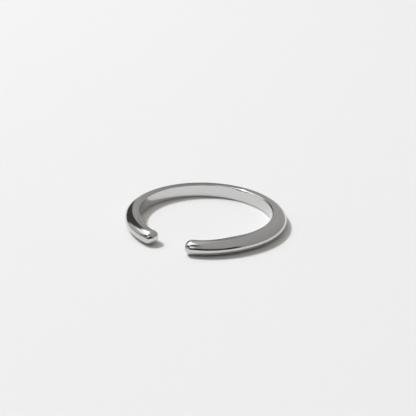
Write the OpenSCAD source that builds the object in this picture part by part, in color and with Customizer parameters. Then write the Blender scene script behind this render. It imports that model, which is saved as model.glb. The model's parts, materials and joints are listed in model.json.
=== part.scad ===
// Open cuff ring, lying on its side: one solid, with its axis along Z and its mouth towards -Y.
// A bar with round edges is bent round the finger, and the bore is cut through it as a true
// cylinder. The cut leaves a flat wall inside the band, which narrows to nothing as the two
// arms lift off the bore and become round bars with domed tips.

/* [Finger] */
// Inside diameter of the ring
bore_d = 17.3; // [14:0.1:22]

/* [Band] */
// Width of the band, along the finger
band_w = 1.84; // [1.2:0.02:3]
// Thickness of the band, from the bore to its crown
band_t = 1.86; // [1.2:0.02:3]
// How far the crown is domed out from the flat of the band's faces
crown_t = 1.1; // [0.4:0.02:1.4]
// How deep the bore cuts into the bar at the back of the band
cut_t = 0.84; // [0.3:0.02:0.9]

/* [Arms and tips] */
// Clear mouth between the two tips
mouth = 4.2; // [4.2:0.1:8]
// Thickness of each arm at its round tip, outwards from the bore
tip_t = 2.2; // [1.2:0.02:2.6]
// Length of the dome that closes each tip
dome_len = 0.9; // [0.5:0.05:1.3]
// How far each tip stands off the bore
flare = 0.02; // [0.02:0.02:0.6]
// Length of each arm over which the band turns round
arm_len = 7.5; // [5:0.5:14]

/* [Hidden] */
bore_r = bore_d / 2;
tip_mid_r = bore_r + flare + tip_t / 2;
DEG = 180 / PI;
// Angles are measured from the back of the band, so the mouth is at 180 degrees.
tip_end_a = 180 - asin(mouth / 2 / tip_mid_r);
tip_mid_a = tip_end_a - dome_len / tip_mid_r * DEG;
arm_start_a = tip_mid_a - arm_len / tip_mid_r * DEG;

// Steps of the sweep along the back, along each arm and round each tip, and round the section
BACK_STEPS = 56;
ARM_STEPS = 16;
TIP_STEPS = 6;
EDGE_STEPS = 8;
BORE_PAST = 1;

function mix(a, b, share) = a + (b - a) * share;
function ease(x) = x * x * (3 - 2 * x);
// How far the bar has turned round at an angle: 0 along the back, 1 at the middle of a tip
function turned(a) =
    let (along = (abs(a) - arm_start_a) / (tip_mid_a - arm_start_a))
    ease(min(1, max(0, along)));

// A quarter of an oval about a corner, as points outside it whose sides touch it
function quarter(u, w, ru, rw, from) =
    let (step = 90 / EDGE_STEPS)
    [for (i = [0 : EDGE_STEPS - 1])
        let (a = from + step * (i + 0.5))
        [u, w] + [ru * cos(a), rw * sin(a)] / cos(step / 2)];

// Section of the bar at an angle, as distance from the axis and height: its two inner edges are
// round, its faces are flat, and its crown is domed
function section(a) =
    let (k = turned(a),
         inner = bore_r + mix(-cut_t, flare, k),
         outer = mix(bore_r + band_t, bore_r + flare + tip_t, k),
         half = band_w / 2,
         round = mix(half, tip_t / 2, k),
         crown = mix(crown_t, tip_t / 2, k))
    concat(quarter(outer - crown, 0, crown, half, 0),
           quarter(inner + round, 0, round, half, 90),
           quarter(inner + round, 0, round, half, 180),
           quarter(outer - crown, 0, crown, half, 270));

function middle(points) = [for (i = [0, 1]) (min([for (p = points) p[i]]) + max([for (p = points) p[i]])) / 2];
function shrunk(points, share) = let (c = middle(points)) [for (p = points) c + (p - c) * share];
// A section's points set upright at an angle round the axis, with the band standing on z = 0
function placed(points, a) = [for (p = points) [-p[0] * sin(a), p[0] * cos(a), p[1] + band_w / 2]];

// One ring of points round the domed end of a tip: beta is 0 at its widest and 90 at its point
function tip_ring(side, beta) =
    placed(shrunk(section(tip_mid_a), cos(beta)),
           side * mix(tip_mid_a, tip_end_a, sin(beta)));

arm_angles = [for (i = [0 : ARM_STEPS]) mix(arm_start_a, tip_mid_a, i / ARM_STEPS)];
back_angles = [for (i = [1 : BACK_STEPS - 1]) mix(-arm_start_a, arm_start_a, i / BACK_STEPS)];
bar_angles = concat([for (i = [ARM_STEPS : -1 : 0]) -arm_angles[i]], back_angles, arm_angles);
tip_betas = [for (i = [1 : TIP_STEPS - 1]) 90 * i / TIP_STEPS];
rings = concat(
    [for (i = [TIP_STEPS - 2 : -1 : 0]) tip_ring(-1, tip_betas[i])],
    [for (a = bar_angles) placed(section(a), a)],
    [for (b = tip_betas) tip_ring(1, b)]);

// Skins a row of rings, each with the same number of points, and closes both ends on a point
module skin(rings, first_point, last_point) {
    n = len(rings[0]);
    m = len(rings);
    points = concat([for (ring = rings) each ring], [first_point, last_point]);
    walls = [for (j = [0 : m - 2], i = [0 : n - 1])
        let (a = j * n + i, b = j * n + (i + 1) % n)
        each [[a, b, b + n], [a, b + n, a + n]]];
    first_cap = [for (i = [0 : n - 1]) [(i + 1) % n, i, m * n]];
    last_cap = [for (i = [0 : n - 1]) [(m - 1) * n + i, (m - 1) * n + (i + 1) % n, m * n + 1]];
    polyhedron(points, concat(walls, first_cap, last_cap), convexity = 6);
}

module bar() {
    skin(rings, tip_ring(-1, 90)[0], tip_ring(1, 90)[0]);
}

module band() {
    color("silver") difference() {
        bar();
        translate([0, 0, -BORE_PAST]) cylinder(r = bore_r, h = band_w + 2 * BORE_PAST, $fn = 180);
    }
}

band();
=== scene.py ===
"""Open cuff ring in polished silver, lying on its side on a pale sheet of paper.

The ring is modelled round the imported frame's bore: its axis is +Z and its mouth is towards -Y.
"""
import json
import logging
import math
from dataclasses import dataclass, field
from enum import Enum

import bpy
import numpy as np
from mathutils import Matrix, Vector


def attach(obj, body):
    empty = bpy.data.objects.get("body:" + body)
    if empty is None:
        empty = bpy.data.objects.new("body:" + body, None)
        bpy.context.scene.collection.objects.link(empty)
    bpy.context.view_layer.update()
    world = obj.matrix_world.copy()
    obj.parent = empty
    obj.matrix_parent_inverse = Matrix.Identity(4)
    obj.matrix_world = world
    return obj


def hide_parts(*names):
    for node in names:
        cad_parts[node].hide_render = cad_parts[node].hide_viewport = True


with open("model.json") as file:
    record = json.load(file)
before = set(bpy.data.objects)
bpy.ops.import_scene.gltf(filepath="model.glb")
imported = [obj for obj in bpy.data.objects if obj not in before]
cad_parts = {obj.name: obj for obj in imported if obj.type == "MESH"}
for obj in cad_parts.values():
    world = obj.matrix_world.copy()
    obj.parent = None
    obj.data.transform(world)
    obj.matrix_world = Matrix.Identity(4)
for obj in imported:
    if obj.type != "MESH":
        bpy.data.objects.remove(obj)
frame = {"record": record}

LOG = logging.getLogger("open_cuff_ring")
MM = 0.001
MICRON = 0.001 * MM
FINGER = next(mount["dims"] for mount in frame["record"]["mounts"] if mount["name"] == "finger")
BORE_RADIUS = FINGER["r_mm"] * MM
BAND_WIDTH = FINGER["length_mm"] * MM
PHOTO_SIDE_PX = 416
SENSOR_MM = 36.0
QUARTER_TURN = math.pi / 2
HALF_TURN = math.pi
ZENITH_DEG = 90.0
# Steps of the oval on which the corner between face and wall is found
FINE_STEPS = 400
# Largest distance in metres between two vertices that are welded into one
WELD_DISTANCE = 1e-8
# Largest difference in radians between the angles of one station's vertices
SAME_ANGLE = 1e-4


class Side(Enum):
    """One arm of the ring, as the sign of its angle from the back."""

    LEFT = 1
    RIGHT = -1


def in_object_mode() -> None:
    """Leaves edit mode and deselects everything."""
    if bpy.context.mode != "OBJECT":
        bpy.ops.object.mode_set(mode="OBJECT")
    bpy.ops.object.select_all(action="DESELECT")


def ease(share: float) -> float:
    """Smooth step from 0 to 1, level at both ends."""
    share = min(1.0, max(0.0, share))
    return share * share * (3 - 2 * share)


def mix(start: float, end: float, share: float) -> float:
    """The value at a share of the way from start to end."""
    return start + (end - start) * share


def between(first: np.ndarray, second: np.ndarray, values: np.ndarray, wanted: float) -> np.ndarray:
    """The place between two points where a value that they carry is the wanted one."""
    return mix(first, second, (wanted - values[0]) / (values[1] - values[0]))


def spread(points: np.ndarray, steps: int) -> np.ndarray:
    """Points at even steps along a line of points, with both its ends."""
    lengths = np.linalg.norm(np.diff(points, axis=0), axis=1)
    along = np.concatenate([[0], np.cumsum(lengths)])
    wanted = np.linspace(0, along[-1], steps + 1)
    return np.stack([np.interp(wanted, along, points[:, axis]) for axis in (0, 1)], -1)


def towards(azimuth_deg: float, elevation_deg: float) -> Vector:
    """Unit vector towards a place given by azimuth from +X and elevation.

    Args:
        azimuth_deg: Angle round +Z from +X, in degrees.
        elevation_deg: Angle above the floor, in degrees.

    Returns:
        The direction, from the ring towards that place.
    """
    azimuth, elevation = math.radians(azimuth_deg), math.radians(elevation_deg)
    flat = math.cos(elevation)
    return Vector((flat * math.cos(azimuth), flat * math.sin(azimuth), math.sin(elevation)))


class NodeBench:
    """Adds shader nodes to one node tree and joins them."""

    def __init__(self, tree: bpy.types.NodeTree) -> None:
        """Starts on an empty tree."""
        self.tree = tree
        tree.nodes.clear()

    def add(self, kind: str, settings: dict | None = None, **inputs: object) -> bpy.types.Node:
        """Adds a node.

        Args:
            kind: Blender's name of the node type.
            settings: Attributes to set on the node.
            inputs: Input values or sockets, by input name with _ for a space, or i0, i1 by place.

        Returns:
            The new node.
        """
        node = self.tree.nodes.new(kind)
        for name, value in (settings or {}).items():
            setattr(node, name, value)
        for name, value in inputs.items():
            socket = node.inputs[self.socket_key(name)]
            if isinstance(value, bpy.types.NodeSocket):
                self.tree.links.new(value, socket)
            else:
                socket.default_value = value
        return node

    @staticmethod
    def socket_key(name: str) -> int | str:
        """The place or the name of the input that a keyword stands for."""
        if name[0] == "i" and name[1:].isdigit():
            return int(name[1:])
        return name.replace("_", " ")

    def maths(self, operation: str, *values: object) -> bpy.types.NodeSocket:
        """Adds a Math node on values or sockets, and returns its result."""
        inputs = {f"i{place}": value for place, value in enumerate(values)}
        return self.add("ShaderNodeMath", {"operation": operation}, **inputs).outputs[0]

    def step(self, value: bpy.types.NodeSocket, start: float, end: float) -> bpy.types.NodeSocket:
        """Smooth step of a value, 0 at start and 1 at end."""
        node = self.add("ShaderNodeMapRange", {"interpolation_type": "SMOOTHSTEP"},
                        Value=value, From_Min=start, From_Max=end)
        return node.outputs[0]


@dataclass(frozen=True)
class PolishedSilver:
    """High-polish silver with the faint marks of the polishing wheel."""

    colour: tuple[float, float, float, float] = (0.655, 0.655, 0.645, 1.0)
    smoothest: float = 0.06
    roughest: float = 0.13
    mark_scale: float = 9000.0
    mark_detail: float = 3.0
    mark_range: tuple[float, float] = (0.3, 0.7)
    mark_stretch: float = 0.08
    mark_depth: float = 0.15 * MICRON
    wave_scale: float = 900.0
    wave_detail: float = 1.0
    wave_depth: float = 3.0 * MICRON

    def material(self) -> bpy.types.Material:
        """Makes the material."""
        material = bpy.data.materials.new("polished_silver")
        material.use_nodes = True
        bench = NodeBench(material.node_tree)
        place = bench.add("ShaderNodeTexCoord").outputs["Object"]
        marks = bench.add("ShaderNodeTexNoise", Vector=self.along_band(bench, place),
                          Scale=self.mark_scale, Detail=self.mark_detail).outputs[0]
        waves = bench.add("ShaderNodeTexNoise", Vector=place, Scale=self.wave_scale,
                          Detail=self.wave_detail).outputs[0]
        gloss = bench.add("ShaderNodeMapRange", Value=marks, From_Min=self.mark_range[0],
                          From_Max=self.mark_range[1], To_Min=self.smoothest,
                          To_Max=self.roughest).outputs[0]
        waved = bench.add("ShaderNodeBump", Strength=1.0, Distance=self.wave_depth, Height=waves)
        marked = bench.add("ShaderNodeBump", Strength=1.0, Distance=self.mark_depth, Height=marks,
                           Normal=waved.outputs[0])
        shader = bench.add("ShaderNodeBsdfPrincipled", Base_Color=self.colour, Metallic=1.0,
                           Roughness=gloss, Normal=marked.outputs[0])
        bench.add("ShaderNodeOutputMaterial", Surface=shader.outputs[0])
        return material

    def along_band(self, bench: NodeBench, place: bpy.types.NodeSocket) -> bpy.types.NodeSocket:
        """Turns a place into one whose first axis runs round the ring, drawn out along it."""
        axes = bench.add("ShaderNodeSeparateXYZ", Vector=place)
        across = bench.add("ShaderNodeVectorMath", {"operation": "LENGTH"},
                           i0=bench.add("ShaderNodeCombineXYZ", X=axes.outputs["X"],
                                        Y=axes.outputs["Y"]).outputs[0]).outputs["Value"]
        turn = bench.maths("ARCTAN2", axes.outputs["X"], axes.outputs["Y"])
        round_way = bench.maths("MULTIPLY", turn, BORE_RADIUS * self.mark_stretch)
        return bench.add("ShaderNodeCombineXYZ", X=round_way, Y=across,
                         Z=axes.outputs["Z"]).outputs[0]


@dataclass(frozen=True)
class SmoothPaper:
    """Matt white paper under the ring, with a faint tooth."""

    light: tuple[float, float, float, float] = (0.818, 0.8, 0.783, 1.0)
    dark: tuple[float, float, float, float] = (0.782, 0.764, 0.747, 1.0)
    tooth_scale: float = 1500.0
    tooth_detail: float = 6.0
    tooth_roughness: float = 0.65
    tooth_depth: float = 4.0 * MICRON

    def material(self) -> bpy.types.Material:
        """Makes the material."""
        material = bpy.data.materials.new("smooth_paper")
        material.use_nodes = True
        bench = NodeBench(material.node_tree)
        place = bench.add("ShaderNodeTexCoord").outputs["Object"]
        tooth = bench.add("ShaderNodeTexNoise", Vector=place, Scale=self.tooth_scale,
                          Detail=self.tooth_detail, Roughness=self.tooth_roughness).outputs[0]
        # Inputs 6 and 7 and output 2 are the Mix node's colour sockets
        shade = bench.add("ShaderNodeMix", {"data_type": "RGBA"}, Factor=tooth, i6=self.dark,
                          i7=self.light).outputs[2]
        bump = bench.add("ShaderNodeBump", Strength=1.0, Distance=self.tooth_depth, Height=tooth)
        shader = bench.add("ShaderNodeBsdfPrincipled", Base_Color=shade, Roughness=1.0,
                           Specular_IOR_Level=0.0, Normal=bump.outputs[0])
        bench.add("ShaderNodeOutputMaterial", Surface=shader.outputs[0])
        return material


@dataclass(frozen=True)
class WornSpot:
    """A stretch of the bore's edge that wear and polishing have rounded more.

    Attributes:
        angle: Angle of its middle from the back, in degrees.
        reach: How far it reaches either way, in degrees.
        depth: Radius that it adds to the edge at its middle.
    """

    angle: float
    reach: float
    depth: float

    def extra(self, angle: float) -> float:
        """Radius that the wear adds to the edge at an angle in radians."""
        return self.depth * ease(1 - abs(math.degrees(angle) - self.angle) / self.reach)


@dataclass
class CuffBand:
    """The ring's one bar of metal: flat inner wall, domed outside, round arms and domed tips.

    Attributes:
        silver: The band's finish.
        bore_radius: Radius of the inner wall.
        width: Width of the band, along the finger.
        thickness: Thickness of the band, from the bore to its crown.
        crown: How far the crown is domed out from the flat faces.
        crown_power: Above 1 draws the crown to a sharper point than an oval's.
        point_fade: How late along an arm that point fades, as a power.
        cut: How deep the bore cuts into the bar at the back.
        mouth: Clear width between the two tips.
        tip_thickness: Thickness of each arm at its round tip.
        dome_length: Length of the dome that closes each tip.
        flare: How far each tip stands off the bore.
        arm_length: Length of each arm over which the band turns round.
        edge_round: Radius of the upper edge between face and wall.
        lower_round: Radius of the lower edge.
        worn_spots: Where the upper edge is rounder.
        edge_fade: Half width of the wall below which its edges get sharper.
        fullness: Below 1 makes the tips' domes fuller than round ones.
        stations: Number of steps of the sweep from tip to tip.
        dome_steps: Steps of a section over half the crown.
        face_steps: Steps of a section along a face.
        edge_steps: Steps of a section round an edge.
        wall_steps: Steps of a section down half the wall.
        dome_rings: Rings of vertices that close each tip.
        piece: The band's object, once it is built.
    """

    silver: PolishedSilver
    bore_radius: float = BORE_RADIUS
    width: float = BAND_WIDTH
    thickness: float = 1.86 * MM
    crown: float = 1.06 * MM
    crown_power: float = 1.38
    point_fade: int = 6
    cut: float = 0.84 * MM
    mouth: float = 4.2 * MM
    tip_thickness: float = 2.2 * MM
    dome_length: float = 0.9 * MM
    flare: float = 0.02 * MM
    arm_length: float = 7.5 * MM
    edge_round: float = 0.1 * MM
    lower_round: float = 0.24 * MM
    worn_spots: tuple[WornSpot, ...] = (
        WornSpot(-6, 11, 0.2 * MM),
        WornSpot(-45, 28, 0.12 * MM),
    )
    edge_fade: float = 0.6 * MM
    fullness: float = 0.88
    stations: int = 400
    dome_steps: int = 26
    face_steps: int = 20
    edge_steps: int = 8
    wall_steps: int = 6
    dome_rings: int = 15
    piece: bpy.types.Object | None = field(default=None, init=False)

    @property
    def spokes(self) -> int:
        """Number of points round a section."""
        return 2 * (self.dome_steps + self.face_steps + self.edge_steps + self.wall_steps)

    @property
    def tip_radius(self) -> float:
        """Distance of a tip's middle from the bore's axis."""
        return self.bore_radius + self.flare + self.tip_thickness / 2

    @property
    def tip_end(self) -> float:
        """Angle of a tip's point from the back."""
        return HALF_TURN - math.asin(self.mouth / 2 / self.tip_radius)

    @property
    def tip_middle(self) -> float:
        """Angle from the back where a tip's dome starts."""
        return self.tip_end - self.dome_length / self.tip_radius

    def turned(self, angle: float) -> float:
        """How far the bar has turned round at an angle: 0 along the back, 1 at a tip."""
        arm = self.arm_length / self.tip_radius
        return ease((abs(angle) - self.tip_middle + arm) / arm)

    def section(self, angle: float) -> np.ndarray:
        """The bar's section at an angle, with one point for each spoke.

        Args:
            angle: Angle from the back, in radians.

        Returns:
            Points from the crown over the upper face, down the bore's wall and back underneath,
            each a distance from the axis and a height from mid-width.
        """
        worn = self.edge_round + sum(spot.extra(angle) for spot in self.worn_spots)
        upper = self.half_section(angle, worn)
        lower = self.half_section(angle, self.lower_round) * [1, -1]
        return np.vstack([upper, lower[::-1][1:-1]])

    def half_section(self, angle: float, radius: float) -> np.ndarray:
        """Upper half of the section at an angle, from its crown to the middle of the wall.

        Args:
            angle: Angle from the back, in radians.
            radius: Radius of the edge between face and wall, where the wall is at its full width.

        Returns:
            Points, each a distance from the axis and a height from mid-width.
        """
        round_share = self.turned(angle)
        inner = self.bore_radius + mix(-self.cut, self.flare, round_share)
        outer = self.bore_radius + mix(self.thickness, self.flare + self.tip_thickness, round_share)
        crown = mix(self.crown, self.tip_thickness / 2, round_share)
        inner_round = mix(self.width / 2, self.tip_thickness / 2, round_share)
        power = mix(self.crown_power, 1.0, round_share ** self.point_fade)
        dome = self.quarter(outer - crown, crown, self.dome_steps, power)
        back = self.quarter(inner + inner_round, -inner_round, FINE_STEPS)[::-1]
        face = np.vstack([dome[-1:], back])
        inside = face[:, 0] < self.bore_radius
        if inside.any():
            first = int(np.argmax(inside))
            corner = between(face[first - 1], face[first], face[first - 1:first + 1, 0],
                             self.bore_radius)
            face, edge = self.rounded(np.vstack([face[:first], corner]),
                                      radius * ease(corner[1] / self.edge_fade))
        else:
            edge = np.repeat(face[-1:], self.edge_steps + 1, axis=0)
        wall = np.linspace(edge[-1], edge[-1] * [1, 0], self.wall_steps + 1)
        return np.vstack([dome, spread(face, self.face_steps)[1:], edge[1:], wall[1:]])

    def quarter(self, middle: float, reach: float, steps: int, power: float = 1.0) -> np.ndarray:
        """A quarter of an oval from mid-width up to the face.

        Args:
            middle: Distance of the oval's middle from the bore's axis.
            reach: How far the oval reaches out from there, or in if it is negative.
            steps: Number of steps along the quarter.
            power: Above 1 draws the oval's end to a sharper point.

        Returns:
            The quarter's points, each a distance from the axis and a height from mid-width.
        """
        turn = np.linspace(0, QUARTER_TURN, steps + 1)
        out = middle + reach * np.clip(np.cos(turn), 0, 1) ** power
        return np.stack([out, self.width / 2 * np.sin(turn)], -1)

    def rounded(self, face: np.ndarray, radius: float) -> tuple[np.ndarray, np.ndarray]:
        """Rounds the corner between the upper face and the bore's wall.

        Args:
            face: The face's outline, ending on the corner.
            radius: Radius of the rounding.

        Returns:
            The face up to the rounding, and the rounding down to the wall.
        """
        heading = np.gradient(face, axis=0)
        heading /= np.linalg.norm(heading, axis=1)[:, None]
        centres = face - radius * np.stack([heading[:, 1], -heading[:, 0]], -1)
        target = self.bore_radius + radius
        first = int(np.argmax(centres[:, 0] <= target))
        if first == 0:
            return face, np.repeat(face[-1:], self.edge_steps + 1, axis=0)
        reaches = centres[first - 1:first + 1, 0]
        centre = between(centres[first - 1], centres[first], reaches, target)
        touch = between(face[first - 1], face[first], reaches, target)
        start = math.atan2(touch[1] - centre[1], touch[0] - centre[0])
        turns = np.linspace(start, HALF_TURN, self.edge_steps + 1)
        edge = centre + radius * np.stack([np.cos(turns), np.sin(turns)], -1)
        return np.vstack([face[:first], touch]), np.vstack([touch, edge[1:]])

    def placed(self, section: np.ndarray, angle: float) -> np.ndarray:
        """A section's points stood upright at an angle, with the ring lying on the floor."""
        out, up = section[:, 0], section[:, 1] + self.width / 2
        return np.stack([-out * math.sin(angle), out * math.cos(angle), up], -1)

    def build(self) -> None:
        """Spins the section round the finger, shapes the arms and closes both tips."""
        in_object_mode()
        bpy.ops.mesh.primitive_circle_add(vertices=self.spokes, radius=self.width / 2,
                                          fill_type="NOTHING")
        piece = bpy.context.object
        piece.name = piece.data.name = "silver_band"
        spoke = piece.data.attributes.new("spoke", "INT", "POINT")
        first = self.placed(self.section(-self.tip_middle), -self.tip_middle)
        for vertex, place in zip(piece.data.vertices, first):
            vertex.co = place
            spoke.data[vertex.index].value = vertex.index
        bpy.ops.object.mode_set(mode="EDIT")
        bpy.ops.mesh.select_all(action="SELECT")
        bpy.ops.mesh.spin(steps=self.stations, angle=-2 * self.tip_middle, center=(0, 0, 0),
                          axis=(0, 0, 1))
        bpy.ops.object.mode_set(mode="OBJECT")
        self.piece = piece
        self.shape_arms()
        for side in Side:
            self.close_tip(side)
        bpy.ops.object.mode_set(mode="EDIT")
        bpy.ops.mesh.select_all(action="SELECT")
        bpy.ops.mesh.remove_doubles(threshold=WELD_DISTANCE)
        bpy.ops.mesh.normals_make_consistent(inside=False)
        bpy.ops.object.mode_set(mode="OBJECT")
        bpy.ops.object.shade_smooth()

    def angles(self) -> np.ndarray:
        """Each vertex's angle from the back, positive towards -X's arm."""
        places = np.array([vertex.co for vertex in self.piece.data.vertices])
        return np.arctan2(-places[:, 0], places[:, 1])

    def shape_arms(self) -> None:
        """Gives every station of the spun bar the section of its own angle."""
        mesh = self.piece.data
        spokes = [item.value for item in mesh.attributes["spoke"].data]
        step = 2 * self.tip_middle / self.stations
        stations = np.rint((self.angles() + self.tip_middle) / step).astype(int)
        angles = [step * station - self.tip_middle for station in range(self.stations + 1)]
        rings = [self.placed(self.section(angle), angle) for angle in angles]
        for vertex in mesh.vertices:
            vertex.co = rings[stations[vertex.index]][spokes[vertex.index]]

    def close_tip(self, side: Side) -> None:
        """Draws a tip's last station out into a dome, ring by ring."""
        end = side.value * self.tip_middle
        chosen = np.abs(self.angles() - end) < SAME_ANGLE
        in_object_mode()
        self.piece.select_set(True)
        bpy.context.view_layer.objects.active = self.piece
        bpy.ops.object.mode_set(mode="EDIT")
        bpy.ops.mesh.select_mode(type="VERT")
        bpy.ops.mesh.select_all(action="DESELECT")
        bpy.ops.object.mode_set(mode="OBJECT")
        self.piece.data.vertices.foreach_set("select", chosen)
        bpy.ops.object.mode_set(mode="EDIT")
        reach = self.tip_end - self.tip_middle
        betas = np.linspace(0, QUARTER_TURN, self.dome_rings + 2)[1:-1]
        angle, size = self.tip_middle, 1.0
        for beta in betas:
            next_angle = self.tip_middle + reach * math.sin(beta) ** self.fullness
            next_size = math.cos(beta) ** self.fullness
            bpy.ops.mesh.extrude_edges_move()
            self.turn_ring(side.value * (next_angle - angle))
            bpy.ops.transform.resize(value=(next_size / size,) * 3,
                                     center_override=self.tip_centre(side.value * next_angle))
            angle, size = next_angle, next_size
        bpy.ops.mesh.extrude_edges_move()
        self.turn_ring(side.value * (self.tip_end - angle))
        bpy.ops.mesh.merge(type="CENTER")
        bpy.ops.object.mode_set(mode="OBJECT")

    def turn_ring(self, angle: float) -> None:
        """Turns the selected ring of vertices round the bore's axis."""
        bpy.ops.transform.rotate(value=-angle, orient_axis="Z", orient_type="GLOBAL",
                                 center_override=(0, 0, 0))

    def tip_centre(self, angle: float) -> Vector:
        """The middle of the round arm at an angle."""
        return Vector((-self.tip_radius * math.sin(angle), self.tip_radius * math.cos(angle),
                       self.width / 2))

    def dress(self) -> None:
        """Gives the band its finish and ties it to the frame."""
        self.piece.data.materials.clear()
        self.piece.data.materials.append(self.silver.material())
        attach(self.piece, "root")
        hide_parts("band")


@dataclass(frozen=True)
class SkyPatch:
    """A soft-edged patch of the room as the polished metal sees it.

    Attributes:
        azimuth: Where its middle is round +Z from +X, in degrees.
        elevation: Where its middle is above the floor, in degrees.
        half_width: Half its azimuth range, in degrees.
        half_height: Half its elevation range, in degrees.
        softness: Half the width of its soft edge, in degrees.
        level: Its brightness.
    """

    azimuth: float
    elevation: float
    half_width: float
    half_height: float
    softness: float
    level: float

    def laid_over(self, bench: NodeBench, heading: bpy.types.NodeSocket,
                  rise: bpy.types.NodeSocket, level: bpy.types.NodeSocket) -> bpy.types.NodeSocket:
        """Mixes the patch over the room's level.

        Args:
            bench: The world's node bench.
            heading: The direction that is looked in.
            rise: Its elevation in degrees.
            level: The room's level so far.

        Returns:
            The room's level with the patch.
        """
        turned = bench.add("ShaderNodeVectorRotate", {"rotation_type": "Z_AXIS"}, Vector=heading,
                           Angle=-math.radians(self.azimuth)).outputs[0]
        axes = bench.add("ShaderNodeSeparateXYZ", Vector=turned)
        across = bench.maths("ARCTAN2", axes.outputs["Y"], axes.outputs["X"])
        across = bench.maths("ABSOLUTE", bench.maths("MULTIPLY", across, math.degrees(1)))
        upwards = bench.maths("ABSOLUTE", bench.maths("SUBTRACT", rise, self.elevation))
        beside = bench.step(across, self.half_width - self.softness,
                            self.half_width + self.softness)
        above = bench.step(upwards, self.half_height - self.softness,
                           self.half_height + self.softness)
        share = bench.maths("MULTIPLY", bench.maths("SUBTRACT", 1.0, beside),
                            bench.maths("SUBTRACT", 1.0, above))
        change = bench.maths("MULTIPLY", bench.maths("SUBTRACT", self.level, level), share)
        return bench.maths("ADD", level, change)


@dataclass
class Studio:
    """Paper floor, key light and the room round the ring.

    Attributes:
        paper: The floor's material.
        floor_side: Side of the square floor.
        key_azimuth: Where the key light is round +Z from +X, in degrees.
        key_elevation: Where the key light is above the floor, in degrees.
        key_distance: Distance of the key light from the ring.
        key_light: The light that it throws on a surface that faces it.
        key_spread: How wide it looks from the ring, in degrees.
        key_colour: Its colour.
        low_level: The room's brightness up to the elevation low_top, in degrees.
        low_top: Above it the room gets brighter evenly, up to top_level overhead.
        top_level: The room's brightness overhead.
        tint: The room's colour.
        patches: What the metal mirrors, the later ones over the earlier ones.
    """

    paper: SmoothPaper
    floor_side: float = 1.2
    key_azimuth: float = 181.3
    key_elevation: float = 55.3
    key_distance: float = 1.1
    key_light: float = 1.95
    key_spread: float = 2.0
    key_colour: tuple[float, float, float] = (0.86, 0.925, 1.0)
    low_level: float = 0.36
    low_top: float = 15.0
    top_level: float = 0.45
    tint: tuple[float, float, float, float] = (1.0, 0.985, 0.965, 1.0)
    # Azimuth, elevation, half width, half height, softness and level of each
    patches: tuple[SkyPatch, ...] = (
        SkyPatch(120, 20, 45, 45, 35, 0.43),
        SkyPatch(124, 62, 16, 20, 8, 0.6),
        SkyPatch(178, 60, 43, 22, 8, 2.55),
        SkyPatch(-130, 67, 38, 11, 7, 0.75),
        SkyPatch(-18, 62, 35, 12, 8, 0.42),
        SkyPatch(-111, 8, 20, 12, 6, 0.55),
        SkyPatch(-141, 35, 30, 13, 6, 0.06),
        SkyPatch(-60, 41, 26, 11, 8, 0.35),
        SkyPatch(-88, 39, 12, 8, 5, 1.3),
        SkyPatch(-44, 8, 36, 24, 6, 0.04),
        SkyPatch(-87, 5, 16, 21, 5, 0.05),
        SkyPatch(-92, 72, 28, 9, 7, 0.08),
        SkyPatch(178, 18, 17, 12, 5, 0.53),
        SkyPatch(176, 38, 22, 8, 5, 1.25),
        SkyPatch(117, 14, 2.4, 15, 1.5, 0.27),
        SkyPatch(145, 15, 14.5, 24, 3, 0.055),
        SkyPatch(181.3, 55.3, 8, 6, 3, 8.0),
    )

    def lay_paper(self) -> None:
        """Lays the paper that the ring lies on."""
        in_object_mode()
        bpy.ops.mesh.primitive_plane_add(size=self.floor_side)
        floor = bpy.context.object
        floor.name = "paper_floor"
        floor.data.materials.append(self.paper.material())

    def hang_key_light(self) -> None:
        """Hangs the key light, high on the left."""
        lamp = bpy.data.lights.new("key_light", "AREA")
        lamp.shape = "DISK"
        lamp.size = 2 * self.key_distance * math.tan(math.radians(self.key_spread / 2))
        lamp.energy = self.key_light * math.pi * self.key_distance ** 2
        lamp.color = self.key_colour
        light = bpy.data.objects.new("key_light", lamp)
        bpy.context.scene.collection.objects.link(light)
        aim = towards(self.key_azimuth, self.key_elevation)
        light.location = aim * self.key_distance
        light.rotation_euler = aim.to_track_quat("Z", "Y").to_euler()

    def light_room(self) -> None:
        """Makes the room's soft light, brighter upwards, with the patches that the metal mirrors."""
        world = bpy.data.worlds.new("room")
        bpy.context.scene.world = world
        world.use_nodes = True
        bench = NodeBench(world.node_tree)
        heading = bench.add("ShaderNodeTexCoord").outputs["Generated"]
        axes = bench.add("ShaderNodeSeparateXYZ", Vector=heading)
        rise = bench.maths("MULTIPLY", bench.maths("ARCSINE", axes.outputs["Z"]), math.degrees(1))
        level = bench.add("ShaderNodeMapRange", Value=rise, From_Min=self.low_top,
                          From_Max=ZENITH_DEG, To_Min=self.low_level,
                          To_Max=self.top_level).outputs[0]
        for patch in self.patches:
            level = patch.laid_over(bench, heading, rise, level)
        backdrop = bench.add("ShaderNodeBackground", Color=self.tint, Strength=level)
        bench.add("ShaderNodeOutputWorld", Surface=backdrop.outputs[0])


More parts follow.
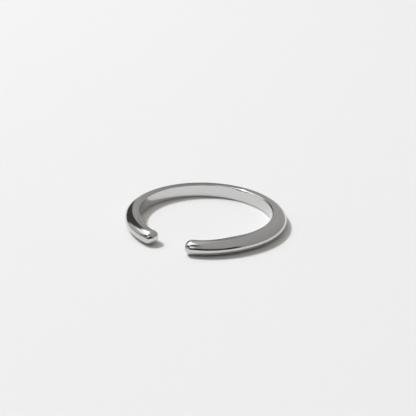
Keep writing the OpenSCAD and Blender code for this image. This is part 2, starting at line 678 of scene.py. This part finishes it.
@dataclass(frozen=True)
class PhotoCamera:
    """Close-up camera at the photograph's angle.

    Attributes:
        azimuth: How far the camera is turned round the ring from its mouth, in degrees.
        elevation: Its height above the floor, in degrees.
        roll: Its turn about its own line of sight, in degrees.
        distance: Its distance from the bore's middle.
        pixels_per_mm: The photo's scale there.
        centre_x: Where the bore's middle falls, in pixels from the left.
        centre_y: Where it falls, in pixels from the top.
        nearest: Nearest distance that the camera sees.
        farthest: Farthest distance that the camera sees.
    """

    azimuth: float = 26.7
    elevation: float = 23.85
    roll: float = 1.816
    distance: float = 150 * MM
    pixels_per_mm: float = 7.6629
    centre_x: float = 205.61
    centre_y: float = 222.82
    nearest: float = 5 * MM
    farthest: float = 10.0

    def place(self) -> None:
        """Places the camera so that the bore's middle on the floor falls where the photo has it."""
        lens = bpy.data.cameras.new("photo_camera")
        camera = bpy.data.objects.new("photo_camera", lens)
        bpy.context.scene.collection.objects.link(camera)
        turn = math.radians(self.azimuth)
        rise = math.radians(self.elevation)
        camera.location = Vector((math.sin(turn) * math.cos(rise), -math.cos(turn) * math.cos(rise),
                                  math.sin(rise))) * self.distance
        aim = (Matrix.Rotation(turn, 3, "Z") @ Matrix.Rotation(QUARTER_TURN - rise, 3, "X")
               @ Matrix.Rotation(math.radians(self.roll), 3, "Z"))
        camera.rotation_euler = aim.to_euler()
        lens.sensor_width = SENSOR_MM
        lens.lens = self.pixels_per_mm * self.distance / MM / PHOTO_SIDE_PX * SENSOR_MM
        lens.shift_x = (PHOTO_SIDE_PX / 2 - self.centre_x) / PHOTO_SIDE_PX
        lens.shift_y = (self.centre_y - PHOTO_SIDE_PX / 2) / PHOTO_SIDE_PX
        lens.clip_start = self.nearest
        lens.clip_end = self.farthest
        bpy.context.scene.camera = camera


def main() -> None:
    """Builds the ring, its stage and its camera."""
    logging.basicConfig(level=logging.INFO, format="%(name)s: %(message)s")
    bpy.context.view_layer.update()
    bpy.context.scene.view_settings.view_transform = "Standard"
    PhotoCamera().place()
    band = CuffBand(PolishedSilver())
    band.build()
    band.dress()
    LOG.info("silver_band: %d faces", len(band.piece.data.polygons))
    studio = Studio(SmoothPaper())
    studio.lay_paper()
    studio.hang_key_light()
    studio.light_room()
    LOG.info("studio: paper floor, key light and room")


if __name__ == "__main__":
    main()
